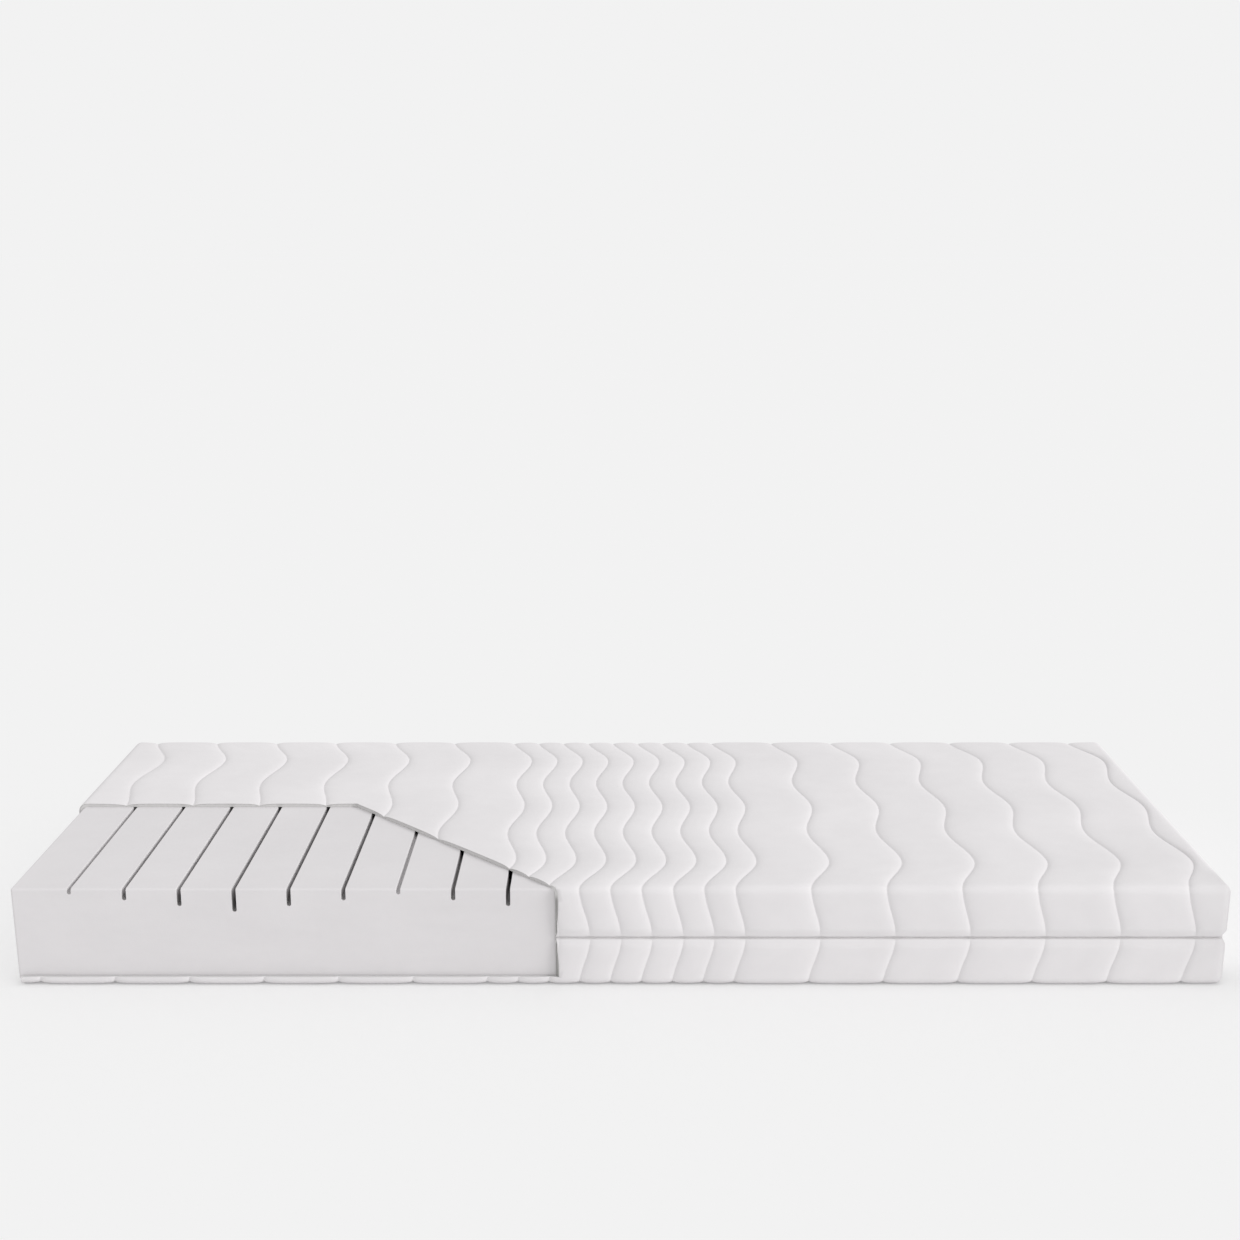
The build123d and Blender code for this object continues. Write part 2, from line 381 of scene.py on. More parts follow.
class Coordinates(Enum):
    """What a finish's pattern is laid out on."""
    OBJECT = "Object"
    CLOTH = "UV"


@dataclass(frozen=True)
class Finish:
    """A material: its colours, roughness and bump; the pattern is each finish's own."""
    name: str
    low: tuple
    high: tuple
    rough_low: float = 0.8
    rough_high: float = 0.95
    bump: float = 0.1 * MM
    strength: float = 0.5
    sheen: float = 0.0
    metallic: float = 0.0
    coordinates: Coordinates = Coordinates.OBJECT

    def pattern(self, tree: Tree, vector: bpy.types.NodeSocket) -> tuple:
        """Returns the sockets for the colour mix, the roughness mix and the height."""
        raise NotImplementedError("each kind of finish has its own pattern")

    def material(self) -> bpy.types.Material:
        """Builds the material once and returns it."""
        if self.name in bpy.data.materials:
            return bpy.data.materials[self.name]
        made = bpy.data.materials.new(self.name)
        made.use_nodes = True
        made.diffuse_color = (*self.high, 1.0)
        tree = Tree(made.node_tree)
        shader = made.node_tree.nodes["Principled BSDF"]
        place = tree.add("ShaderNodeTexCoord").outputs[self.coordinates.value]
        colour, rough, height = self.pattern(tree, place)
        links = made.node_tree.links
        links.new(tree.ramp(colour, self.low, self.high), shader.inputs["Base Color"])
        links.new(tree.between(rough, self.rough_low, self.rough_high), shader.inputs["Roughness"])
        bump = tree.add("ShaderNodeBump", {
            "Strength": self.strength, "Distance": self.bump, "Height": height})
        links.new(bump.outputs["Normal"], shader.inputs["Normal"])
        shader.inputs["Metallic"].default_value = self.metallic
        shader.inputs["Sheen Weight"].default_value = self.sheen
        shader.inputs["Sheen Roughness"].default_value = 0.5
        return made


@dataclass(frozen=True)
class JerseyFinish(Finish):
    """Knitted ticking: fine loops over very soft shade changes."""
    wale: float = 1.1 * MM
    course: float = 0.85 * MM

    def pattern(self, tree: Tree, vector: bpy.types.NodeSocket) -> tuple:
        """Loops for the height; mottling for the colour, with painted shade darkening the gaps
        between loops.
        """
        knit = tree.group(knit_group(), {
            "Vector": vector, "Wale": self.wale, "Course": self.course})
        mottle = tree.group(mottle_group(), {"Vector": vector, "Scale": 4.0}).outputs["Value"]
        # painted shade: the colour is darkened in the gaps between the loops
        shade = tree.math("SUBTRACT", tree.math("MULTIPLY", mottle, 1.5),
                          tree.math("MULTIPLY", knit.outputs["Gaps"], 0.35))
        return shade, knit.outputs["Gaps"], knit.outputs["Height"]


@dataclass(frozen=True)
class FoamFinish(Finish):
    """Cut polyurethane foam: open cells of two sizes and faint saw streaks."""
    cell: float = 1.3 * MM

    def pattern(self, tree: Tree, vector: bpy.types.NodeSocket) -> tuple:
        """Cells for the height; streaks and blotches for the colour, with painted shade darkening
        the hollows between cells.
        """
        big = tree.add("ShaderNodeTexVoronoi", {"Vector": vector, "Scale": 1.0 / self.cell})
        small = tree.add("ShaderNodeTexVoronoi", {"Vector": vector, "Scale": 2.3 / self.cell})
        cells = tree.weighted(big.outputs["Distance"], 0.6, small.outputs["Distance"], 0.4)
        streak = tree.noise(tree.stretched(vector, (0.25, 0.25, 1.0)), 28.0, 5.0, 0.6)
        mottle = tree.group(mottle_group(), {"Vector": vector, "Scale": 9.0}).outputs["Value"]
        shade = tree.weighted(streak, 0.55, mottle, 0.55)
        # painted shade: the colour is darkened in the hollows between the cells
        shade = tree.math("SUBTRACT", shade, tree.math("MULTIPLY", cells, 0.25))
        return shade, cells, tree.math("SUBTRACT", 1.0, cells)


@dataclass(frozen=True)
class SlitFinish(FoamFinish):
    """Foam inside the slits, with painted shade: its colour darkens with depth below the block's
    top.
    """
    top: float = 166.0 * MM
    fade: float = 20.0 * MM

    def pattern(self, tree: Tree, vector: bpy.types.NodeSocket) -> tuple:
        """The foam's own cells and streaks, with the colour falling off with depth as painted
        shade.
        """
        shade, rough, height = super().pattern(tree, vector)
        # painted shade: the colour falls off with depth below the block's top
        lit = tree.rising(vector, self.top - self.fade, self.top)
        return tree.math("MULTIPLY", lit, tree.math("ADD", shade, 0.4)), rough, height


@dataclass(frozen=True)
class FibreFinish(Finish):
    """Loose fibres: wadding, cut edges and non-woven backing."""
    scale: float = 900.0

    def pattern(self, tree: Tree, vector: bpy.types.NodeSocket) -> tuple:
        """Tangled fibres for the colour, roughness and height."""
        fibre = tree.group(fibre_group(), {"Vector": vector, "Scale": self.scale}).outputs["Value"]
        return fibre, fibre, fibre


@dataclass(frozen=True)
class SectionFinish(FibreFinish):
    """The quilt's cut section, with painted shade: light on the panel, darker down the walls."""
    wall_top: float = 146.0 * MM
    fade: float = 14.0 * MM

    def pattern(self, tree: Tree, vector: bpy.types.NodeSocket) -> tuple:
        """Fibres, lightened above the walls; the darker walls below are painted shade."""
        shade, rough, height = super().pattern(tree, vector)
        # painted shade: the section darkens below the panel's edge
        lit = tree.rising(vector, self.wall_top, self.wall_top + self.fade)
        return tree.weighted(lit, 0.65, shade, 0.35), rough, height


@dataclass(frozen=True)
class DottedFinish(Finish):
    """Non-woven backing, pressed with a grid of small dots."""
    pitch: float = 2.6 * MM

    def pattern(self, tree: Tree, vector: bpy.types.NodeSocket) -> tuple:
        """Fibres with pressed dots."""
        fibre = tree.group(fibre_group(), {"Vector": vector, "Scale": 700.0}).outputs["Value"]
        dots = tree.add("ShaderNodeTexVoronoi", {
            "Vector": vector, "Scale": 1.0 / self.pitch, "Randomness": 0.0})
        pressed = tree.math("MINIMUM", tree.math("MULTIPLY", dots.outputs["Distance"], 3.0), 1.0)
        return tree.math("MULTIPLY", fibre, pressed), fibre, tree.math("ADD", pressed, fibre)


@dataclass(frozen=True)
class WovenFinish(Finish):
    """Zip tape: a tight herringbone weave."""
    pitch: float = 0.8 * MM

    def pattern(self, tree: Tree, vector: bpy.types.NodeSocket) -> tuple:
        """Crossing yarns for everything."""
        weave = tree.group(weave_group(), {"Vector": vector, "Pitch": self.pitch}).outputs["Height"]
        lifted = tree.math("ADD", weave, 0.5)
        return lifted, lifted, lifted


@dataclass(frozen=True)
class PlyFinish(Finish):
    """Thread and nylon: fine turns round the strand, with slight shade changes."""
    turn: float = 0.9 * MM

    def pattern(self, tree: Tree, vector: bpy.types.NodeSocket) -> tuple:
        """Slanting turns for the height, blotches for the colour."""
        parts = tree.add("ShaderNodeSeparateXYZ", {"Vector": vector})
        total = tree.math("ADD", tree.math("ADD", parts.outputs["X"], parts.outputs["Y"]),
                          parts.outputs["Z"])
        turns = tree.math("SINE", tree.math("MULTIPLY", total, math.tau / self.turn))
        mottle = tree.noise(vector, 160.0)
        return mottle, mottle, tree.math("ADD", tree.math("MULTIPLY", turns, 0.5), 0.5)


@dataclass(frozen=True)
class MetalFinish(Finish):
    """Nickel-plated zip metal: fine tumbling marks and duller edges of wear."""

    def pattern(self, tree: Tree, vector: bpy.types.NodeSocket) -> tuple:
        """Fine scratches and soft clouding."""
        marks = tree.noise(tree.stretched(vector, (1.0, 0.3, 4.0)), 1600.0, 4.0, 0.6)
        cloud = tree.noise(vector, 260.0, 2.0)
        return cloud, tree.weighted(marks, 0.6, cloud, 0.4), marks


TICKING = JerseyFinish("jersey_ticking", (0.725, 0.705, 0.715), (0.815, 0.795, 0.805),
                       0.82, 0.97, 0.12 * MM, 0.35, 0.08, coordinates=Coordinates.CLOTH)
# the cut edge's dark low colour is painted shade down the walls
TICKING_EDGE = SectionFinish("ticking_cut_edge", (0.24, 0.235, 0.23), (0.78, 0.77, 0.765),
                             bump=0.2 * MM, scale=1400.0)
TICKING_LIP = FibreFinish("ticking_lip_edge", (0.74, 0.73, 0.735), (0.84, 0.83, 0.835),
                          bump=0.1 * MM, scale=1400.0)
WADDING = FibreFinish("polyester_wadding", (0.60, 0.595, 0.59), (0.78, 0.775, 0.77),
                      bump=0.4 * MM, sheen=0.1, scale=600.0)
# the wadding edge's dark low colour is painted shade down the walls
WADDING_EDGE = SectionFinish("wadding_cut_edge", (0.22, 0.215, 0.21), (0.74, 0.73, 0.725),
                             bump=0.5 * MM, scale=800.0)
LIP_EDGE = FibreFinish("filling_lip_edge", (0.55, 0.54, 0.54), (0.72, 0.71, 0.71),
                       bump=0.3 * MM, scale=900.0)
BACKING = DottedFinish("non_woven_backing", (0.58, 0.575, 0.57), (0.76, 0.755, 0.75),
                       bump=0.15 * MM, coordinates=Coordinates.CLOTH)
BACKING_EDGE = FibreFinish("backing_cut_edge", (0.60, 0.59, 0.58), (0.74, 0.73, 0.72),
                           bump=0.1 * MM, scale=1600.0)
FOAM = FoamFinish("open_cell_foam", (0.685, 0.665, 0.675), (0.775, 0.755, 0.765),
                  0.88, 0.99, 0.3 * MM, 0.4)
# the slit foam's dark low colour is painted shade for the slit walls
FOAM_SLIT = SlitFinish("slit_foam_in_shade", (0.44, 0.43, 0.43), (0.80, 0.78, 0.79),
                       0.9, 0.99, 0.3 * MM, 0.4)
TAPE = WovenFinish("woven_zip_tape", (0.74, 0.72, 0.72), (0.86, 0.84, 0.845),
                   bump=0.15 * MM, coordinates=Coordinates.CLOTH)
NYLON = PlyFinish("nylon_coil", (0.84, 0.815, 0.82), (0.92, 0.90, 0.905), 0.32, 0.48,
                  0.04 * MM, 0.3)
THREAD = PlyFinish("polyester_thread", (0.78, 0.77, 0.775), (0.86, 0.85, 0.855), 0.45, 0.65,
                   0.05 * MM, 0.6)
NICKEL = MetalFinish("nickel_plate", (0.55, 0.545, 0.53), (0.72, 0.715, 0.70), 0.22, 0.42,
                     0.01 * MM, 0.4, metallic=1.0)


# ------------------------------------------------------------------ sizes and pattern

class Side(Enum):
    """The two halves of the cover."""
    UPPER = "upper"
    LOWER = "lower"


@dataclass(frozen=True)
class MattressSize:
    """Overall sizes, read from the frame."""
    length: float
    width: float
    height: float
    zip_z: float
    hem_gap: float

    @classmethod
    def from_frame(cls) -> "MattressSize":
        """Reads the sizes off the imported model's nodes."""
        low, high = CAD_BOX
        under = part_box("lower_ticking")[1][2]
        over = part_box("upper_ticking")[0][2]
        return cls(high[0] - low[0], high[1] - low[1], high[2] - low[2],
                   (under + over) / 2, over - under)


@dataclass(frozen=True)
class Quilting:
    """The stitch lines: where they stand along the length and how they wave."""
    first: float = 46.0 * MM
    wide: float = 123.0 * MM
    dense: float = 51.0 * MM
    wide_cells: int = 6
    dense_cells: int = 8
    swing: float = 43.5 * MM
    dip: float = 22.5 * MM
    wave: float = 304.0 * MM
    zip_swing: float = 18.0 * MM
    panel_valley: float = 4.3 * MM
    side_valley: float = 3.8 * MM
    crease: float = 3.0 * MM
    crease_share: float = 0.25
    shoulder: float = 11.0 * MM
    end_line_drop: float = 46.0 * MM
    end_swing: float = 12.0 * MM
    end_swing_fade: float = 60.0 * MM

    def lines(self) -> list[float]:
        """Distances of the lines from the left end, at the long edges."""
        pitches = [self.wide] * self.wide_cells + [self.dense] * self.dense_cells
        pitches += [self.wide] * self.wide_cells
        places = [self.first]
        for pitch in pitches:
            places.append(places[-1] + pitch)
        return places

    def panel_wave(self, y: Array) -> Array:
        """A line's sideways swing across a panel."""
        fall = np.where(np.abs(y) < self.wave, self.dip, self.swing)
        return self.swing - fall * (1.0 - np.cos(2.0 * math.pi * y / self.wave)) / 2.0

    def wall_wave(self, drop: Array, depth: float) -> Array:
        """A line's sideways swing down a side wall, from the edge to the zip."""
        share = np.clip(drop / depth, 0.0, 1.0)
        return self.zip_swing * (1.0 - np.cos(math.pi * share)) / 2.0

    def end_wave(self, y: Array, width: float) -> Array:
        """The end walls' line: its swing up and down, fading out at the corners."""
        fade = smoothstep((width / 2 - np.abs(y)) / self.end_swing_fade)
        return self.end_swing * np.cos(2.0 * math.pi * y / self.wave) * fade

    def valley(self, distance: Array, reach: Array) -> Array:
        """How far the cloth is drawn in, from 1 at a line to nearly 0 in a cell's middle."""
        sharp = np.exp(-distance / self.crease)
        broad = np.cosh(np.maximum(reach - distance, 0.0) / self.shoulder)
        broad = broad / np.cosh(reach / self.shoulder)
        return self.crease_share * sharp + (1.0 - self.crease_share) * broad


@dataclass(frozen=True)
class Layer:
    """A surface of the cover: its depth, its rounding at the panel's edges, and its quilting."""
    panel_skin: float
    side_skin: float
    edge: float
    quilted: bool


# ------------------------------------------------------------------ cutaway

@dataclass(frozen=True)
class Cutaway:
    """What is taken out of the cover at the front left corner.

    An upright prism stops at a low lip along the front. At the left end the cut goes on down
    to the floor, a little way in under the core.
    """
    size: MattressSize
    depth: float = 458.0 * MM
    back_length: float = 516.5 * MM
    front_length: float = 904.0 * MM
    lip: float = 14.5 * MM
    end_inset: float = 16.0 * MM
    overshoot: float = 50.0 * MM
    sharp: float = 66.0

    def corners(self) -> list[tuple]:
        """The prism's outline, seen from above."""
        left, front = -self.size.length / 2, -self.size.width / 2
        slope = (self.front_length - self.back_length) / self.depth
        out = self.overshoot
        return [
            (left - out, front - out),
            (left + self.front_length + slope * out, front - out),
            (left + self.back_length, front + self.depth),
            (left - out, front + self.depth),
        ]

    def end_corners(self) -> list[tuple]:
        """The outline of the strip at the left end that has no lip."""
        left, front = -self.size.length / 2, -self.size.width / 2
        out, edge = self.overshoot, left + self.end_inset
        return [(left - out, front - out), (edge, front - out),
                (edge, front + self.depth), (left - out, front + self.depth)]

    def removes(self, points: Array, margin: float = 0.0) -> Array:
        """Which points are cut away, or lie within a margin of the cut.

        Args:
            points: an array of points.
            margin: how far outside the cut still counts.

        Returns:
            One true or false for each point.
        """
        outline = self.corners()
        in_end = points[:, 0] < -self.size.length / 2 + self.end_inset + margin
        inside = (points[:, 2] > self.lip - margin) | in_end
        for (x0, y0), (x1, y1) in zip(outline, outline[1:] + outline[:1]):
            run = math.hypot(x1 - x0, y1 - y0)
            off = ((x1 - x0) * (points[:, 1] - y0) - (y1 - y0) * (points[:, 0] - x0)) / run
            inside &= off > -margin
        return inside

    def cutter(self, outline: Sequence[tuple], low: float, finish: Finish,
               lip_finish: Finish) -> bpy.types.Object:
        """Makes a prism as an object that dresses what it cuts.

        Args:
            outline: its corners, seen from above.
            low: the height of its underside.
            finish: what its upright sides leave behind.
            lip_finish: what its underside leaves on the low lip.

        Returns:
            The prism.
        """
        bm = bmesh.new()
        floor = [bm.verts.new((x, y, low)) for x, y in outline]
        face = bm.faces.new(floor)
        raised = bmesh.ops.extrude_face_region(bm, geom=[face], use_keep_orig=True)
        tops = [g for g in raised["geom"] if isinstance(g, bmesh.types.BMVert)]
        bmesh.ops.translate(bm, verts=tops, vec=(0, 0, 2 * self.size.height))
        bmesh.ops.recalc_face_normals(bm, faces=bm.faces)
        for side in bm.faces:
            side.material_index = 1 if side.normal.z < -0.5 else 0
        made = finish_bmesh(bm, "cutter", smooth=False)
        made.data.materials.append(finish.material())
        made.data.materials.append(lip_finish.material())
        return made

    def cut(self, piece: bpy.types.Object, finish: Finish, lip_finish: Finish) -> None:
        """Cuts the corner out of a closed piece and dresses the section.

        Args:
            piece: the piece to cut.
            finish: dresses its upright sections.
            lip_finish: dresses the top of the low lip.
        """
        for outline, low in ((self.corners(), self.lip), (self.end_corners(), -self.overshoot)):
            cut_out(piece, self.cutter(outline, low, finish, lip_finish))
        piece.data.set_sharp_from_angle(angle=math.radians(self.sharp))


# ------------------------------------------------------------------ cover halves

@dataclass
class Stations:
    """The grid lines of a cover half along one way of its flat cloth."""
    place: Array
    drop: Array
    inset: Array
    follow: Array
    near: Array
    reach: Array


@dataclass
class CoverHalf:
    """One quilted half of the cover: ticking, wadding, backing and the threads that join them."""
    side: Side
    size: MattressSize
    quilting: Quilting
    cutaway: Cutaway
    upper_edge: float = 15.0 * MM
    lower_edge: float = 11.0 * MM
    corner: float = 15.0 * MM
    corner_reach: float = 70.0 * MM
    ticking: float = 1.2 * MM
    backing: float = 0.6 * MM
    panel_quilt: float = 6.7 * MM
    side_quilt: float = 7.5 * MM
    wadding_gap: float = 0.35 * MM
    pinch: float = 5.7 * MM
    pinch_start: float = 0.8 * MM
    pinch_height: float = 9.0 * MM
    roll: float = 1.2 * MM
    hem_reach: float = 0.5 * MM
    row_step: float = 14.0 * MM
    wadding_stop: float = 7.0 * MM
    stitch_pitch: float = 4.2 * MM
    stitch_length: float = 3.3 * MM
    thread: float = 0.45 * MM
    thread_sink: float = 0.3
    end_line_stop: float = 20.0 * MM
    end_valley_fade: float = 30.0 * MM
    cut_margin: float = 3.0 * MM
    flat_at_hem: float = 0.75
    backing_gap: float = 0.1 * MM
    merge: float = 0.02 * MM
    arc_shares: tuple = (0.0, 0.1, 0.22, 0.36, 0.52, 0.74)

    def __post_init__(self) -> None:
        """Works out where the half's panel lies and which way it faces."""
        upper = self.side is Side.UPPER
        self.panel_z = self.size.height if upper else 0.0
        self.facing = 1.0 if upper else -1.0
        self.edge = self.upper_edge if upper else self.lower_edge
        self.rounding = max(self.edge, self.corner)
        self.depth = abs(self.panel_z - self.size.zip_z)
        self.body = self.side.value + "_cover"

    def pinch_at(self, above_hem: Array) -> Array:
        """How far the cloth is drawn in at a height above its rolled hem."""
        return self.pinch * (1.0 - smoothstep((above_hem - self.pinch_start) / self.pinch_height))

    def relief_at(self, inset: Array) -> Array:
        """The share of the quilting's relief that is left where the hem draws the cloth in."""
        return 1.0 - self.flat_at_hem * smoothstep(inset / self.pinch)

    def wall_stations(self, layer_end: str) -> tuple[Array, Array]:
        """Distances down a wall from the panel's edge, and how far each is drawn in.

        Args:
            layer_end: "hem" for the rolled hem of the ticking, "wadding" to stop short of
                it, or "straight" for the flat backing.

        Returns:
            The drops and the insets.
        """
        radius, line = self.rounding, self.quilting.end_line_drop
        end = self.depth - self.size.hem_gap / 2 + self.hem_reach
        roll_start = end - self.roll
        round_part = [radius * share for share in self.arc_shares[1:] + (1.0,)]
        above = [line - d for d in graded(line - radius, 2.2 * MM, 1.5)[:-1]][::-1]
        stops = {"hem": roll_start, "wadding": self.depth - self.wadding_stop, "straight": end}
        stop = stops[layer_end]
        below = [line + d for d in graded(stop - line, 2.2 * MM, 1.5, 7.5 * MM)]
        drops = np.array(round_part + above + [line] + below)
        if layer_end == "straight":
            return drops, np.zeros_like(drops)
        from_roll = roll_start - drops
        insets = self.pinch_at(from_roll)
        if layer_end == "wadding":
            return drops, insets
        turns = [math.radians(a) for a in (30.0, 60.0, 90.0)]
        roll_drops = [roll_start + self.roll * math.sin(a) for a in turns] + [end]
        roll_insets = [self.pinch + self.roll * (1.0 - math.cos(a)) for a in turns]
        roll_insets.append(self.side_quilt - self.backing - self.backing_gap)
        return np.append(drops, roll_drops), np.append(insets, roll_insets)

    def with_flaps(self, place: list, follow: list, near: list, reach: list,
                   wall: tuple[Array, Array]) -> Stations:
        """Adds the wall stations to both ends of a panel's stations."""
        drops, insets = wall
        count, zeros = len(drops), np.zeros(len(place))
        pad = np.zeros(count)
        return Stations(
            np.concatenate([np.full(count, place[0]), place, np.full(count, place[-1])]),
            np.concatenate([drops[::-1], zeros, drops]),
            np.concatenate([insets[::-1], zeros, insets]),
            np.concatenate([pad, follow, pad]),
            np.concatenate([pad, near, pad]),
            np.concatenate([pad + 1.0, reach, pad + 1.0]),
        )

    def columns(self, wall: tuple[Array, Array]) -> Stations:
        """The grid lines that follow the stitch lines, from one end to the other."""
        half = self.size.length / 2
        lines = [p - half for p in self.quilting.lines()]
        corner = [self.rounding * share for share in self.arc_shares]
        spots: list[tuple] = []
        margin = lines[0] + half
        outer = [(-half + c, c / margin) for c in corner]
        inner = [lines[0] - d for d in graded(margin - self.rounding)][::-1]
        outer += [(x, (x + half) / margin) for x in inner]
        spots += [(x, w, lines[0] - x, self.quilting.wide / 2) for x, w in outer]
        for left, right in zip(lines, lines[1:]):
            reach = (right - left) / 2
            steps = graded(reach)
            spots.append((left, 1.0, 0.0, reach))
            spots += [(left + d, 1.0, d, reach) for d in steps]
            spots += [(right - d, 1.0, d, reach) for d in steps[-2::-1]]
        margin = half - lines[-1]
        spots.append((lines[-1], 1.0, 0.0, self.quilting.wide / 2))
        outer = [(lines[-1] + d) for d in graded(margin - self.rounding)]
        outer += [half - c for c in corner[::-1]]
        spots += [(x, (half - x) / margin, x - lines[-1], self.quilting.wide / 2) for x in outer]
        place, follow, near, reach = (list(v) for v in zip(*spots))
        return self.with_flaps(place, follow, near, reach, wall)

    def rows(self, wall: tuple[Array, Array]) -> Stations:
        """The grid lines across the stitch lines, from the front to the back."""
        half = self.size.width / 2
        corner = self.rounding * np.array(self.arc_shares)
        inner = half - self.rounding
        middle = np.linspace(-inner, inner, round(2 * inner / self.row_step) + 1)
        place = np.concatenate([-half + corner, middle, (half - corner)[::-1]])
        nothing = [0.0] * len(place)
        return self.with_flaps(list(place), nothing, nothing, nothing, wall)

    def radius_at(self, x: Array, y: Array, edge: float) -> Array:
        """The rounding at each place: the panel's edges ease into the upright corners."""
        from_corner = np.maximum(self.size.length / 2 - np.abs(x), self.size.width / 2 - np.abs(y))
        return self.corner + (edge - self.corner) * smoothstep(from_corner / self.corner_reach)

    def fold(self, x: Array, y: Array, drop: Array, edge: float,
             depth_in: Callable[[Array], Array]) -> tuple[Array, Array]:
        """Folds flat cloth round the mattress's rounded box.

        Args:
            x: places along the length on the panel, or at its edge.
            y: places across the width on the panel, or at its edge.
            drop: distances down the wall from the panel's plane.
            edge: the rounding at the panel's edges.
            depth_in: gives how far below the outer face each point lies, from the share by
                which it faces as the panel does.

        Returns:
            The points, and the directions in which they face.
        """
        radius = self.radius_at(x, y, edge)
        box_x, box_y = self.size.length / 2 - radius, self.size.width / 2 - radius
        core = np.stack([np.clip(x, -box_x, box_x), np.clip(y, -box_y, box_y),
                         -np.maximum(drop, radius)], axis=-1)
        out = np.stack([x, y, -drop], axis=-1) - core
        out /= np.linalg.norm(out, axis=-1, keepdims=True)
        reach = radius - depth_in(out[..., 2])
        points = core + out * reach[..., None]
        turn = np.array([1.0, 1.0, self.facing])
        return points * turn + np.array([0.0, 0.0, self.panel_z]), out * turn

    def surface(self, cols: Stations, rows: Stations, layer: Layer) -> Array:
        """Places a whole grid on one of the cover's surfaces.

        Args:
            cols: the grid lines along the length.
            rows: the grid lines across the width.
            layer: which surface.

        Returns:
            An array of points, by column and row.
        """
        quilt, width = self.quilting, self.size.width
        def wave(y: Array, drop: Array) -> Array:
            """A long line's swing at a row."""
            wall = quilt.wall_wave(drop, self.depth) + quilt.panel_wave(np.array(width / 2))
            return np.where(drop > 0, wall, quilt.panel_wave(y))
        swing = wave(rows.place, rows.drop)
        run = np.abs(rows.place) + rows.drop + rows.inset
        run = np.where(rows.place < 0, -run, run)
        lean = 1.0 / np.sqrt(1.0 + np.gradient(swing, run) ** 2)
        end_swing = quilt.end_wave(rows.place, width)
        x = cols.place[:, None] + cols.follow[:, None] * swing[None, :]
        is_end = (cols.drop > 0)[:, None]
        line, still = quilt.end_line_drop, self.depth - self.wadding_stop
        share = np.minimum(cols.drop / line, (still - cols.drop) / (still - line))
        follow_end = np.where(cols.drop > 0, smoothstep(np.clip(share * 1.4, 0.0, 1.0)), 0.0)
        drop = cols.drop[:, None] + follow_end[:, None] * end_swing[None, :] + rows.drop[None, :]
        inset = cols.inset[:, None] + rows.inset[None, :]
        y = np.broadcast_to(rows.place[None, :], x.shape)
        corner_fade = smoothstep((self.size.length / 2 - np.abs(x)) / self.rounding)
        valley = quilt.valley(cols.near[:, None] * lean, cols.reach[:, None] * lean)
        end_line = quilt.end_line_drop + end_swing[None, :]
        end_fade = smoothstep((width / 2 - np.abs(y) - self.rounding) / self.end_valley_fade)
        end_valley = quilt.valley(np.abs(drop - end_line), np.full_like(x, quilt.end_line_drop))
        valley = np.where(is_end, end_valley * end_fade, valley * corner_fade)
        near_hem = self.relief_at(inset)

        def depth_in(facing: Array) -> Array:
            """How deep each point lies, given how far it faces as the panel does."""
            flat = facing ** 2
            skin = layer.side_skin + (layer.panel_skin - layer.side_skin) * flat
            if not layer.quilted:
                return skin
            deep = quilt.side_valley + (quilt.panel_valley - quilt.side_valley) * flat
            return skin + inset + valley * deep * near_hem
        return self.fold(x, y, drop, layer.edge, depth_in)[0]

    def sheet(self, layer_end: str) -> tuple:
        """A flat cloth grid with its corner squares cut out, and its grid lines.

        Args:
            layer_end: how the cloth ends at the hem, as wall_stations takes it.

        Returns:
            The bmesh, its columns, its rows and the layer that holds each point's index.
        """
        wall = self.wall_stations(layer_end)
        cols, rows = self.columns(wall), self.rows(wall)
        n_cols, n_rows = len(cols.place), len(rows.place)
        bm = bmesh.new()
        bmesh.ops.create_grid(bm, x_segments=n_cols - 1, y_segments=n_rows - 1, size=0.5)
        index = bm.verts.layers.int.new("station")
        uv = bm.loops.layers.uv.new("cloth")
        for vert in bm.verts:
            i = round((vert.co.x + 0.5) * (n_cols - 1))
            j = round((vert.co.y + 0.5) * (n_rows - 1))
            vert[index] = i * n_rows + j
        flat_x = cols.place + np.sign(cols.place) * cols.drop
        flat_y = rows.place + np.sign(rows.place) * rows.drop
        for face in bm.faces:
            for loop in face.loops:
                i, j = divmod(loop.vert[index], n_rows)
                loop[uv].uv = (flat_x[i], flat_y[j])
        walls = len(wall[0])
        def in_corner(face: bmesh.types.BMFace) -> bool:
            """Whether a face lies in one of the four corner squares."""
            spots = [divmod(v[index], n_rows) for v in face.verts]
            i = sum(s[0] for s in spots) / len(spots)
            j = sum(s[1] for s in spots) / len(spots)
            return (i < walls or i > n_cols - 1 - walls) and (j < walls or j > n_rows - 1 - walls)
        spare = [face for face in bm.faces if in_corner(face)]
        bmesh.ops.delete(bm, geom=spare, context="FACES")
        if self.facing < 0:
            bmesh.ops.reverse_faces(bm, faces=bm.faces)
        return bm, cols, rows, index

    def lay(self, bm: bmesh.types.BMesh, verts: Iterable, index: object, points: Array) -> None:
        """Moves vertices to the points that their indices name."""
        flat = points.reshape(-1, 3)
        for vert in verts:
            vert.co = flat[vert[index]]

    def make_ticking(self) -> bpy.types.Object:
        """The knitted outer cloth, with its hem rolled in at the zip."""
        bm, cols, rows, index = self.sheet("hem")
        self.lay(bm, bm.verts, index, self.surface(cols, rows, Layer(0.0, 0.0, self.edge, True)))
        bmesh.ops.remove_doubles(bm, verts=bm.verts, dist=self.merge)
        bmesh.ops.recalc_face_normals(bm, faces=bm.faces)
        name = self.side.value + "_ticking_cloth"
        piece = finish_bmesh(bm, name)
        piece.data.materials.append(TICKING.material())
        step = piece.modifiers.new("cloth", "SOLIDIFY")
        step.thickness, step.offset = self.ticking, -1.0
        apply_modifiers(piece)
        self.cutaway.cut(piece, TICKING_EDGE, TICKING_LIP)
        return self.place_piece(piece, "ticking")

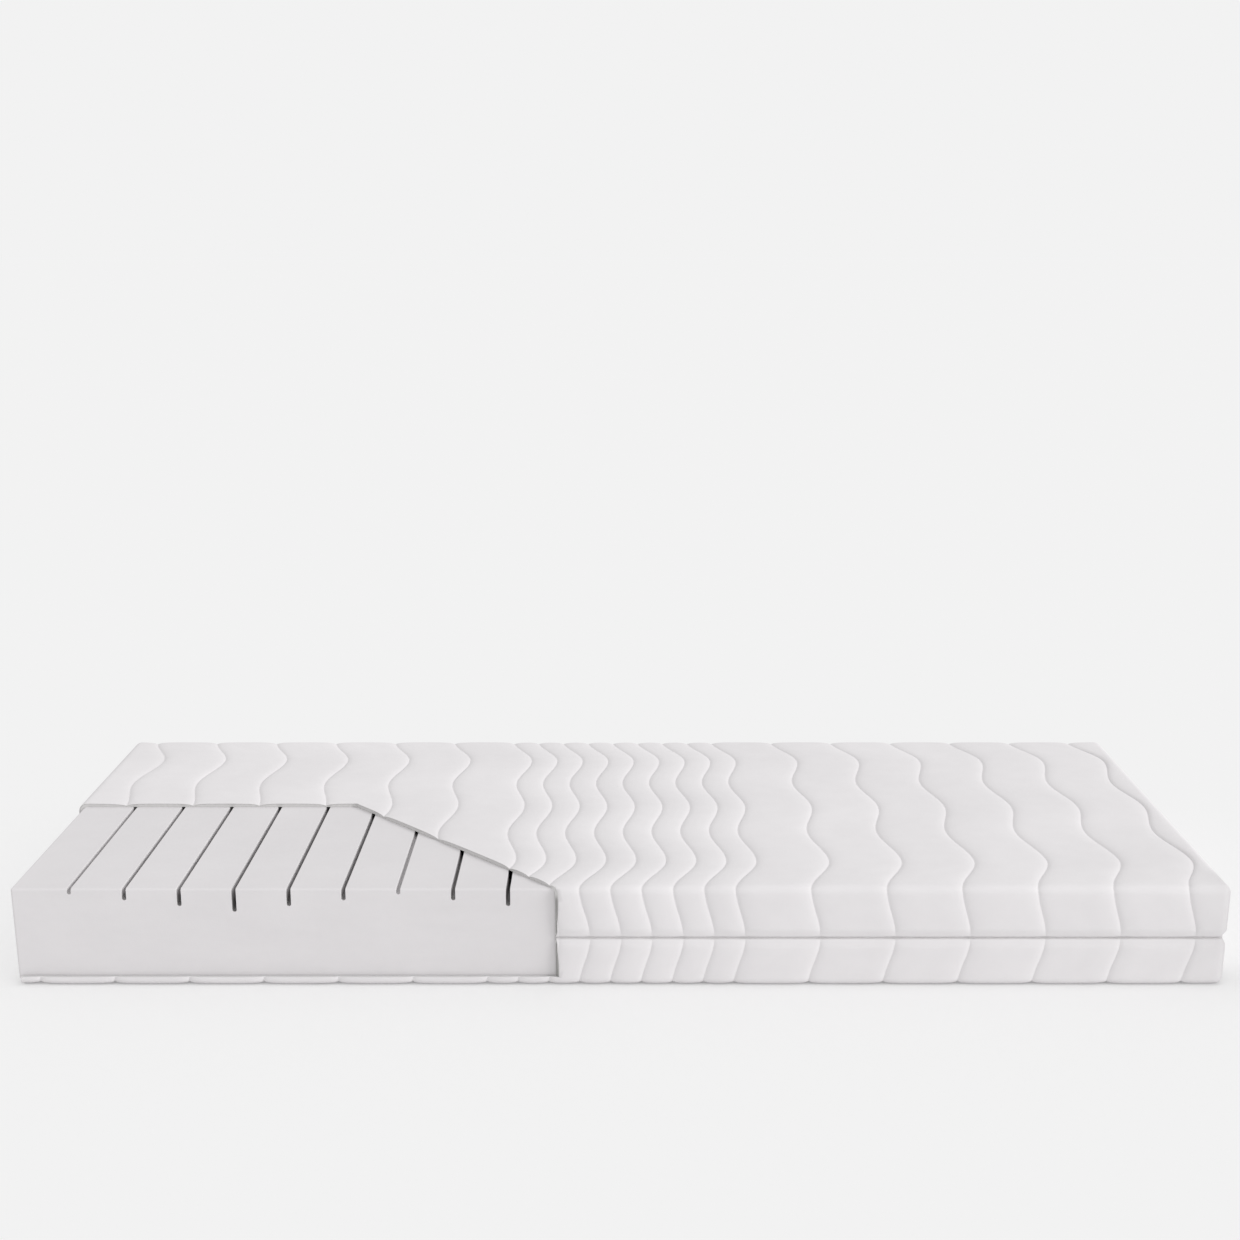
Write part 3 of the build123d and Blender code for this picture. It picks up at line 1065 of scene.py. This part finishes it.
    def make_filled(self, name: str, layer_end: str, outer: Layer, inner: Layer,
                    finish: Finish, edge: Finish) -> bpy.types.Object:
        """A closed layer between two of the cover's surfaces.

        Args:
            name: what the layer is called.
            layer_end: how it ends at the hem.
            outer: its outer surface.
            inner: its inner surface.
            finish: what its faces are dressed in.
            edge: what its cut section is dressed in.

        Returns:
            The piece.
        """
        bm, cols, rows, index = self.sheet(layer_end)
        self.lay(bm, bm.verts, index, self.surface(cols, rows, outer))
        bmesh.ops.remove_doubles(bm, verts=bm.verts, dist=self.merge)
        raised = bmesh.ops.extrude_face_region(bm, geom=list(bm.faces), use_keep_orig=True)
        inside = [g for g in raised["geom"] if isinstance(g, bmesh.types.BMVert)]
        self.lay(bm, inside, index, self.surface(cols, rows, inner))
        bmesh.ops.recalc_face_normals(bm, faces=bm.faces)
        piece = finish_bmesh(bm, f"{self.side.value}_{name}")
        piece.data.materials.append(finish.material())
        self.cutaway.cut(piece, edge, LIP_EDGE)
        return piece

    def lining(self, above: float) -> Layer:
        """The smooth surface at a height above the inside of the cover."""
        return Layer(self.panel_quilt - above, self.side_quilt - above, self.corner, False)

    def make_wadding(self) -> bpy.types.Object:
        """The soft filling between the cloths."""
        skin = self.ticking + self.wadding_gap
        outer = Layer(skin, skin, self.edge, True)
        inner = self.lining(self.backing)
        piece = self.make_filled("wadding_fill", "wadding", outer, inner, WADDING, WADDING_EDGE)
        return self.place_piece(piece, "wadding")

    def make_backing(self) -> bpy.types.Object:
        """The thin cloth on the inside."""
        outer, inner = self.lining(self.backing), self.lining(0.0)
        piece = self.make_filled("backing_cloth", "straight", outer, inner, BACKING, BACKING_EDGE)
        return self.place_piece(piece, "backing")

    def place_piece(self, piece: bpy.types.Object, layer: str) -> bpy.types.Object:
        """Makes a piece stand for its CAD node and ride with this half."""
        stand_for(piece, f"{self.side.value}_{layer}", self.body)
        return piece

    def stitch_path(self, line: float) -> tuple[Array, Array]:
        """Points and outward directions along one long stitch line, at the stitch pitch."""
        half, quilt = self.size.width / 2, self.quilting
        reach = half + self.depth - self.wadding_stop
        run = np.arange(-reach, reach, self.stitch_pitch)
        y, drop = np.clip(run, -half, half), np.maximum(np.abs(run) - half, 0.0)
        edge = quilt.panel_wave(np.array(half))
        x = line + np.where(drop > 0, edge + quilt.wall_wave(drop, self.depth), quilt.panel_wave(y))
        return self.fold(x, y, drop, self.edge, self.valley_floor(drop))

    def end_path(self, end: float) -> tuple[Array, Array]:
        """Points and outward directions along an end wall's stitch line."""
        half = self.size.width / 2 - self.rounding - self.end_line_stop
        y = np.arange(-half, half, self.stitch_pitch)
        drop = self.quilting.end_line_drop + self.quilting.end_wave(y, self.size.width)
        return self.fold(np.full_like(y, end), y, drop, self.edge, self.valley_floor(drop))

    def valley_floor(self, drop: Array) -> Callable[[Array], Array]:
        """How deep the stitches lie, with a thread's thickness left proud."""
        from_roll = self.depth - self.size.hem_gap / 2 + self.hem_reach - self.roll - drop
        inset = self.pinch_at(from_roll)
        near_hem = self.relief_at(inset)
        def depth_in(facing: Array) -> Array:
            """The valley's depth where the cloth faces a given way."""
            deep = self.quilting.side_valley + (
                self.quilting.panel_valley - self.quilting.side_valley) * facing ** 2
            return inset + deep * near_hem - self.thread * self.thread_sink
        return depth_in

    def make_threads(self) -> bpy.types.Object:
        """The quilting stitches that draw the cloth in along every line."""
        half = self.size.length / 2
        paths = [self.stitch_path(line - half) for line in self.quilting.lines()]
        paths += [self.end_path(-half), self.end_path(half)]
        runs = []
        for points, out in paths:
            along = np.gradient(points, axis=0)
            kept = ~self.cutaway.removes(points, self.cut_margin)
            runs.append([frame_matrix(*spot) for spot in zip(points[kept], along[kept], out[kept])])
        grain = Matrix.Diagonal((self.stitch_length / 2, self.thread / 2, self.thread / 2, 1.0))

        def stitch(bm: bmesh.types.BMesh, place: Matrix) -> None:
            """Adds one stitch, full in the middle and drawn down at its ends."""
            bmesh.ops.create_icosphere(bm, subdivisions=1, radius=1.0, matrix=place @ grain)
        piece = repeat(stitch, runs, self.side.value + "_quilting_threads")
        piece.data.materials.append(THREAD.material())
        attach(piece, self.body)
        return piece

    def flat_area(self) -> tuple[tuple, float]:
        """The size that the half's cloth was cut to, and its area without the cutaway."""
        wall = self.depth
        length, width = self.size.length, self.size.width
        flat = (length + 2 * wall, width + 2 * wall)
        area = length * width + 2 * wall * (length + width)
        gone = self.cutaway
        top = gone.depth * (gone.back_length + gone.front_length) / 2
        sides = (gone.front_length + gone.depth) * wall
        if self.side is Side.LOWER:
            top = gone.depth * gone.end_inset
            sides -= gone.front_length * gone.lip
        return flat, area - top - sides

    def build(self) -> None:
        """Makes every piece of the half and logs each one."""
        ticking, wadding = self.make_ticking(), self.make_wadding()
        backing, threads = self.make_backing(), self.make_threads()
        flat, area = self.flat_area()
        for piece in (ticking, wadding, backing, threads):
            report(piece)


# ------------------------------------------------------------------ foam core

@dataclass
class FoamCore:
    """The foam block, slit across its top so that it bends with the sleeper."""
    slit_pitch: float = 89.5 * MM
    slit_width: float = 7.5 * MM
    slit_step: float = 10.0 * MM
    slits_to_deepest: int = 3
    end_margin: float = 100.0 * MM
    edge: float = 3.5 * MM
    lip: float = 0.5 * MM
    flat_face: float = 1.0e-4
    sharp: float = 50.0

    def slit_places(self, length: float) -> list[tuple]:
        """Each slit's place along the length and its depth."""
        count = math.floor((length - 2 * self.end_margin) / self.slit_pitch + 1e-6) + 1
        places = []
        for index in range(count):
            from_end = min(index, count - 1 - index)
            wave = abs(from_end % (2 * self.slits_to_deepest) - self.slits_to_deepest)
            depth = self.slit_step * (self.slits_to_deepest + 1 - wave)
            places.append(((index - (count - 1) / 2) * self.slit_pitch, depth))
        return places

    def cutter(self, low: Vector, high: Vector) -> bpy.types.Object:
        """One mesh of upright blades with round tips, a blade for each slit."""
        length = CAD_BOX[1][0] - CAD_BOX[0][0]
        bm = bmesh.new()
        for x, depth in self.slit_places(length):
            radius = self.slit_width / 2
            tall = depth + 2 * self.slit_width - radius
            made = bmesh.ops.create_circle(bm, cap_ends=False, segments=16, radius=radius)["verts"]
            bmesh.ops.rotate(bm, verts=made, matrix=Euler((math.pi / 2, 0, 0)).to_matrix())
            upper = [v for v in made if v.co.z > -1e-7]
            for vert in upper:
                vert.co.x = math.copysign(radius, vert.co.x) if abs(vert.co.x) > 1e-6 else 0.0
                vert.co.z += tall
            bmesh.ops.translate(bm, verts=made, vec=(x, low[1] - radius, high[2] - depth + radius))
            face = bmesh.ops.contextual_create(bm, geom=made)["faces"][0]
            raised = bmesh.ops.extrude_face_region(bm, geom=[face], use_keep_orig=True)
            ends = [g for g in raised["geom"] if isinstance(g, bmesh.types.BMVert)]
            bmesh.ops.translate(bm, verts=ends, vec=(0, high[1] - low[1] + 2 * radius, 0))
        bmesh.ops.recalc_face_normals(bm, faces=bm.faces)
        made = finish_bmesh(bm, "slit_cutter", smooth=False)
        # the slit walls are dressed in foam with painted shade
        made.data.materials.append(FOAM_SLIT.material())
        return made

    def build(self) -> None:
        """Makes the block, slits it and softens its edges."""
        low, high = (Vector(v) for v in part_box("foam_core"))
        bm = box_bmesh(low, high)
        bmesh.ops.bevel(bm, geom=bm.edges, offset=self.edge, segments=3, profile=0.5,
                        affect="EDGES", material=-1)
        piece = finish_bmesh(bm, "foam_block")
        piece.data.materials.append(FOAM.material())
        cut_out(piece, self.cutter(low, high))
        soften = piece.modifiers.new("soft_edges", "BEVEL")
        soften.width, soften.segments = self.lip, 2
        soften.limit_method, soften.angle_limit = "ANGLE", math.radians(self.sharp)
        apply_modifiers(piece)
        for face in piece.data.polygons:
            face.use_smooth = face.area < self.flat_face
        stand_for(piece, "foam_core", "core")
        report(piece)


# ------------------------------------------------------------------ zip

@dataclass
class ZipSide:
    """One half of the zip: its woven tape and its row of nylon loops."""
    side: Side
    size: MattressSize
    cutaway: Cutaway
    corner: float = 15.0 * MM
    tape_thick: float = 0.8 * MM
    tape_width: float = 14.0 * MM
    coil_inset: float = 6.45 * MM
    tooth_pitch: float = 2.0 * MM
    tooth_wide: float = 0.9 * MM
    tooth_deep: float = 1.6 * MM
    head_over: float = 0.35 * MM
    foot: float = 1.8 * MM
    corner_steps: int = 8
    tape_rows: int = 4
    teeth_in_run: int = 200
    cut_margin: float = 1.0 * MM
    sharp: float = 50.0

    def __post_init__(self) -> None:
        """Works out which way the tape runs from the zip line."""
        self.away = 1.0 if self.side is Side.UPPER else -1.0
        self.body = self.side.value + "_cover"

    def loop(self, inset: float) -> list[tuple]:
        """The rounded rectangle that runs round the mattress at an inset."""
        radius = self.corner - inset
        far_x, far_y = self.size.length / 2 - self.corner, self.size.width / 2 - self.corner
        places = []
        for quarter, (sx, sy) in enumerate(((1, 1), (-1, 1), (-1, -1), (1, -1))):
            for step in range(self.corner_steps + 1):
                angle = (quarter + step / self.corner_steps) * math.pi / 2
                places.append((sx * far_x + radius * math.cos(angle),
                               sy * far_y + radius * math.sin(angle)))
        return places

    def make_tape(self) -> bpy.types.Object:
        """The tape: a woven band behind the hem."""
        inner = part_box(f"{self.side.value}_zip_tape")
        inset = self.size.length / 2 - inner[1][0]
        outline = self.loop(inset)
        low, high = inner[0][2], inner[1][2]
        bm = bmesh.new()
        verts = [bm.verts.new((x, y, low)) for x, y in outline]
        edges = [bm.edges.new((a, b)) for a, b in zip(verts, verts[1:] + verts[:1])]
        for _ in range(self.tape_rows):
            raised = bmesh.ops.extrude_edge_only(bm, edges=edges)["geom"]
            tops = [g for g in raised if isinstance(g, bmesh.types.BMVert)]
            bmesh.ops.translate(bm, verts=tops, vec=(0, 0, (high - low) / self.tape_rows))
            edges = [g for g in raised if isinstance(g, bmesh.types.BMEdge)]
        uv = bm.loops.layers.uv.new("cloth")
        bmesh.ops.recalc_face_normals(bm, faces=bm.faces)
        if sum(f.normal.dot(f.calc_center_median()) for f in bm.faces) < 0:
            bmesh.ops.reverse_faces(bm, faces=bm.faces)
        for face in bm.faces:
            along_x = abs(face.normal.y) > 0.5
            for item in face.loops:
                co = item.vert.co
                item[uv].uv = (co.x if along_x else co.y, co.z)
        piece = finish_bmesh(bm, self.side.value + "_tape_band")
        piece.data.materials.append(TAPE.material())
        step = piece.modifiers.new("cloth", "SOLIDIFY")
        step.thickness, step.offset, step.use_even_offset = self.tape_thick, -1.0, True
        apply_modifiers(piece)
        self.cutaway.cut(piece, BACKING_EDGE, LIP_EDGE)
        stand_for(piece, f"{self.side.value}_zip_tape", self.body)
        return piece

    def make_coil(self) -> bpy.types.Object:
        """The row of loops that meshes with the other half's."""
        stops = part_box(f"{self.side.value}_zip_stops")
        outline = np.array(self.loop(self.coil_inset))
        closed = np.vstack([outline, outline[:1]])
        legs = np.linalg.norm(np.diff(closed, axis=0), axis=1)
        run = np.concatenate([[0.0], np.cumsum(legs)])
        count = int(run[-1] / self.tooth_pitch)
        shift = 0.0 if self.side is Side.UPPER else self.tooth_pitch / 2
        spots = (np.arange(count) * run[-1] / count + shift) % run[-1]
        x, y = (np.interp(spots, run, closed[:, k]) for k in range(2))
        legs_at = np.clip(np.searchsorted(run, spots, side="right") - 1, 0, len(legs) - 1)
        ways = np.diff(closed, axis=0) / legs[:, None]
        tall = self.foot + self.head_over
        middle = self.size.zip_z + self.away * (self.foot - self.head_over) / 2
        points = np.stack([x, y, np.full_like(x, middle)], axis=1)
        margin = self.cut_margin
        by_stops = (x > stops[0][0] - margin) & (x < stops[1][0] + margin) & (y > 0)
        kept = ~(self.cutaway.removes(points, self.cut_margin) | by_stops)
        up = np.array([0.0, 0.0, self.away])
        places = [frame_matrix(at, np.array([*ways[leg], 0.0]), up)
                  for at, leg in zip(points[kept], legs_at[kept])]
        step = self.teeth_in_run
        runs = [places[start:start + step] for start in range(0, len(places), step)]
        grain = Matrix.Diagonal((self.tooth_wide, self.tooth_deep, tall, 1.0))

        def tooth(bm: bmesh.types.BMesh, place: Matrix) -> None:
            """Adds one loop of the coil, a little wider at its head."""
            bmesh.ops.create_cone(bm, cap_ends=True, segments=8, radius1=0.42, radius2=0.5,
                                  depth=1.0, matrix=place @ grain)
        piece = repeat(tooth, runs, self.side.value + "_coil_loops")
        piece.data.materials.append(NYLON.material())
        piece.data.set_sharp_from_angle(angle=math.radians(self.sharp))
        stand_for(piece, f"{self.side.value}_zip_coil", self.body)
        return piece

    def build(self) -> None:
        """Makes the tape and the coil, and dresses the stops."""
        for piece in (self.make_tape(), self.make_coil()):
            report(piece)
        dress(f"{self.side.value}_zip_stops", NICKEL)


def dress(node: str, finish: Finish) -> None:
    """Gives a CAD node a finish in all its material slots."""
    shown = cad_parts[node]
    for spot in shown.material_slots:
        spot.material = finish.material()
    LOG.info("%s keeps its CAD shape, in %s", node, finish.name)


# ------------------------------------------------------------------ studio

@dataclass
class Studio:
    """A pale floor, soft light and the camera."""
    lens: float = 54.8
    sensor: float = 36.0
    pitch_down: float = 17.85
    shift: float = 0.166
    camera_at: tuple = (0.0038, -3.335, 1.206)
    floor_size: float = 60.0
    floor_tone: float = 0.85
    floor_glow: float = 0.12
    floor_light: float = 0.37
    floor_light_spread: float = 22.0
    dome: float = 0.787
    backdrop: float = 0.888
    key_strength: float = 1.52
    key_from: tuple = (0.86, -0.30, 0.41)
    key_spread: float = 24.0
    flag_low: tuple = (1.08, -0.478, 0.0)
    flag_high: tuple = (1.082, -0.40, 0.215)

    def make_floor(self) -> bpy.types.Object:
        """A wide, plain, matt floor that glows a little, so that shadows on it stay soft."""
        bm = bmesh.new()
        bmesh.ops.create_grid(bm, x_segments=1, y_segments=1, size=self.floor_size)
        floor = finish_bmesh(bm, "floor", smooth=False)
        made = bpy.data.materials.new("studio_floor")
        made.use_nodes = True
        shader = made.node_tree.nodes["Principled BSDF"]
        shader.inputs["Base Color"].default_value = (self.floor_tone,) * 3 + (1.0,)
        shader.inputs["Roughness"].default_value = 1.0
        shader.inputs["Specular IOR Level"].default_value = 0.0
        shader.inputs["Emission Color"].default_value = (1.0, 1.0, 1.0, 1.0)
        shader.inputs["Emission Strength"].default_value = self.floor_glow
        floor.data.materials.append(made)
        return floor

    def make_flag(self) -> None:
        """A narrow card that keeps the key off the upright corner at the right."""
        card = box_bmesh(Vector(self.flag_low), Vector(self.flag_high))
        flag = finish_bmesh(card, "flag", smooth=False)
        flag.visible_camera = False

    def make_sun(self, name: str, strength: float, spread: float, source: tuple,
                 floor: bpy.types.Object, link: str) -> None:
        """Adds a soft sun that lights only the floor, or everything but the floor.

        Args:
            name: the light's name.
            strength: its irradiance.
            spread: the angle it fills, in degrees.
            source: the direction it comes from.
            floor: the floor.
            link: INCLUDE to light the floor alone, EXCLUDE to spare it.
        """
        data = bpy.data.lights.new(name, "SUN")
        data.energy, data.angle = strength, math.radians(spread)
        lamp = bpy.data.objects.new(name, data)
        lamp.rotation_euler = (-Vector(source)).to_track_quat("-Z", "Y").to_euler()
        bpy.context.scene.collection.objects.link(lamp)
        linked = bpy.data.collections.new(name + "_receivers")
        linked.objects.link(floor)
        linked.collection_objects[0].light_linking.link_state = link
        lamp.light_linking.receiver_collection = linked

    def make_light(self, floor: bpy.types.Object) -> None:
        """An even dome, a soft key from the right, and a light from above for the floor."""
        world = bpy.data.worlds.new("studio")
        bpy.context.scene.world = world
        world.use_nodes = True
        tree = Tree(world.node_tree)
        nodes = world.node_tree.nodes
        nodes.clear()
        lit = tree.add("ShaderNodeBackground", {"Color": (1, 1, 1, 1), "Strength": self.dome})
        seen = tree.add("ShaderNodeBackground", {"Color": (1, 1, 1, 1), "Strength": self.backdrop})
        path = tree.add("ShaderNodeLightPath")
        mix = tree.add("ShaderNodeMixShader", {
            0: path.outputs["Is Camera Ray"], 1: lit.outputs[0], 2: seen.outputs[0]})
        tree.add("ShaderNodeOutputWorld", {"Surface": mix.outputs[0]})
        self.make_sun("key", self.key_strength, self.key_spread, self.key_from, floor, "EXCLUDE")
        self.make_sun("floor_light", self.floor_light, self.floor_light_spread,
                      (0.0, 0.0, 1.0), floor, "INCLUDE")

    def make_camera(self) -> None:
        """The camera in front of the long side, a little above it."""
        data = bpy.data.cameras.new("camera")
        data.lens, data.sensor_width, data.shift_y = self.lens, self.sensor, self.shift
        camera = bpy.data.objects.new("camera", data)
        camera.location = self.camera_at
        camera.rotation_euler = (math.radians(90.0 - self.pitch_down), 0.0, 0.0)
        bpy.context.scene.collection.objects.link(camera)
        bpy.context.scene.camera = camera

    def build(self) -> None:
        """Sets the whole studio up."""
        self.make_camera()
        self.make_light(self.make_floor())
        self.make_flag()
        bpy.context.scene.view_settings.view_transform = "Standard"


def report(piece: bpy.types.Object) -> None:
    """Logs a piece's name and how many faces it has."""
    LOG.info("%s: %d faces", piece.name, len(piece.data.polygons))


def main() -> None:
    """Builds the mattress piece by piece and sets it in the studio."""
    logging.basicConfig(level=logging.INFO, format="%(message)s")
    Studio().build()
    size = MattressSize.from_frame()
    cutaway, quilting = Cutaway(size), Quilting()
    for side in Side:
        CoverHalf(side, size, quilting, cutaway).build()
        ZipSide(side, size, cutaway).build()
    FoamCore().build()
    for node in ("zip_slider", "pull_tab"):
        dress(node, NICKEL)


if __name__ == "__main__":
    main()
